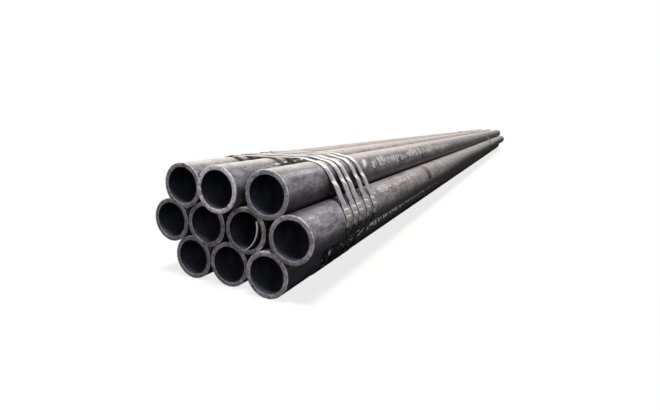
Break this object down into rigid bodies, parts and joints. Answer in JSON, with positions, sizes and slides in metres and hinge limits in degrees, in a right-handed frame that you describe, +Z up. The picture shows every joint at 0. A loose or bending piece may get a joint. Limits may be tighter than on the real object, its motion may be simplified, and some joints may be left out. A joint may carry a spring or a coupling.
{
  "type": "bundle of steel pipes",
  "caption": "Long round steel pipes stacked in three rows with staggered sawn ends, held by flat steel straps with pressed seals.",
  "frame": {"origin": "centre of the bundle's underside, on the plane that its straps rest on", "axes": "+X across the bundle, +Y along the pipes towards their back ends, +Z up"},
  "size_m": [0.4443, 6.0372, 0.2776],
  "materials": {
    "pipe_steel": "dark mill scale with a light bloom, sawn bright on the ends",
    "strap_steel": "bright rolled strap, scuffed",
    "seal_steel": "pressed strap seal, dull with some rust",
    "strip_steel": "thin steel strip, bright on its edge, brown on its face"
  },
  "bodies": {
    "root": {"pipe_bottom_2": "pipe_steel", "pipe_bottom_1": "pipe_steel", "pipe_bottom_3": "pipe_steel", "pipe_middle_1": "pipe_steel", "pipe_middle_2": "pipe_steel", "pipe_middle_3": "pipe_steel", "pipe_middle_4": "pipe_steel", "pipe_top_1": "pipe_steel", "pipe_top_2": "pipe_steel", "pipe_top_3": "pipe_steel", "strap_front_1": "strap_steel", "strap_front_2": "strap_steel", "strap_front_3": "strap_steel", "strap_front_4": "strap_steel", "strap_front_5": "strap_steel", "strap_rear_1": "strap_steel", "strap_rear_2": "strap_steel", "seal_front_1": "seal_steel", "seal_front_2": "seal_steel", "seal_front_3": "seal_steel", "seal_front_4": "seal_steel", "seal_front_5": "seal_steel", "seal_rear_1": "seal_steel", "seal_rear_2": "seal_steel", "bore_strip": "strip_steel"}
  },
  "joints": []
}
